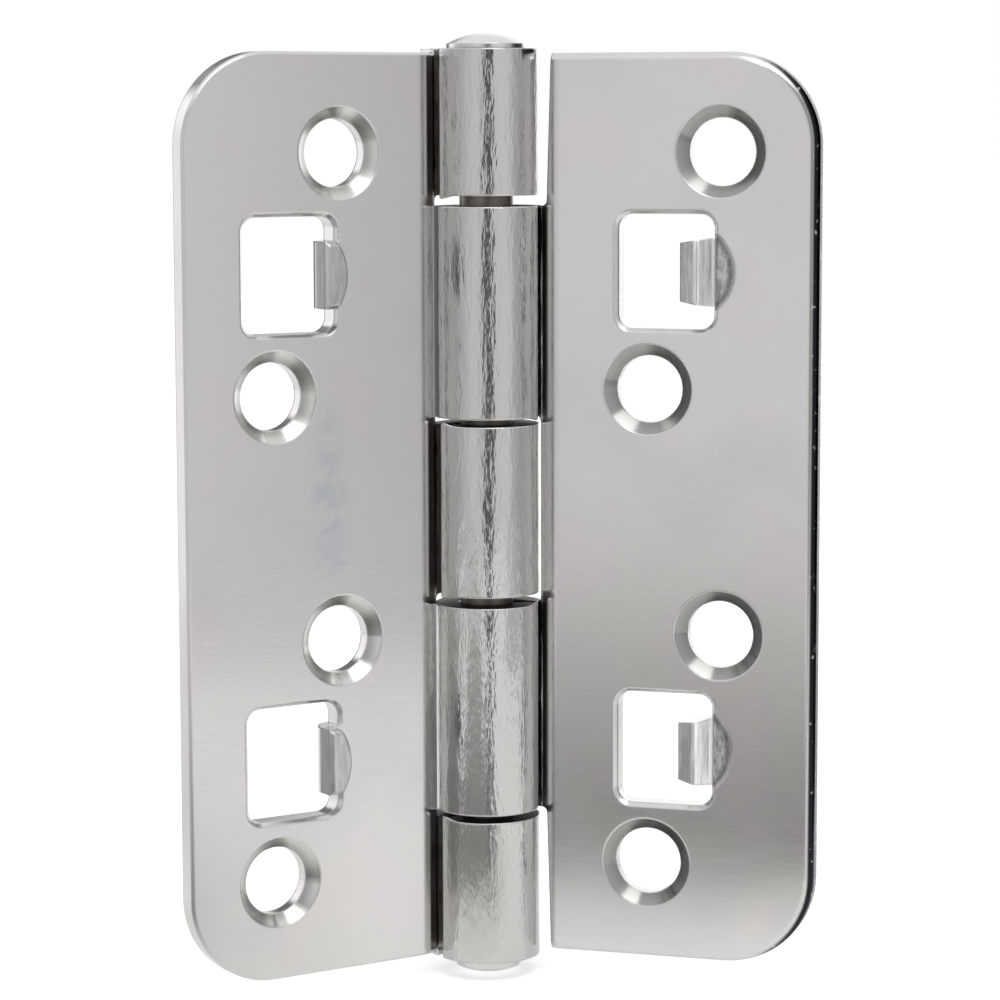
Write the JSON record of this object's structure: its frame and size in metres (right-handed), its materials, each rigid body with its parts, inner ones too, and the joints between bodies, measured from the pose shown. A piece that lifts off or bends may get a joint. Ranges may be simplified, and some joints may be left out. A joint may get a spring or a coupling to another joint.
{
  "type": "security butt hinge",
  "caption": "Rolled steel butt hinge with radius corners, countersunk screw holes, a riveted pin and bent tabs that lock into the other leaf when shut.",
  "frame": {"origin": "on the frame leaf's fixing face, at mid-height, 22.5 mm from the pin axis, halfway between its two rows of screws", "axes": "+Z along the pin towards its head, +Y out of the frame leaf's fixing face into the frame, +X towards the pin and the door leaf"},
  "size_m": [0.0646, 0.0334, 0.1068],
  "materials": {
    "leaf_plate": "bright zinc plated, faint grain",
    "pin_steel": "bright zinc plated ends, plain shank"
  },
  "bodies": {
    "frame_side": {"frame_leaf": "leaf_plate", "hinge_pin": "pin_steel"},
    "door_side": {"door_leaf": "leaf_plate"}
  },
  "joints": [
    {"name": "leaf_swing", "type": "hinge", "parent": "frame_side", "child": "door_side", "pos_m": [0.0225, -0.0034, 0], "axis": [0, 0, 1], "range_deg": [-130.8, 156]}
  ]
}
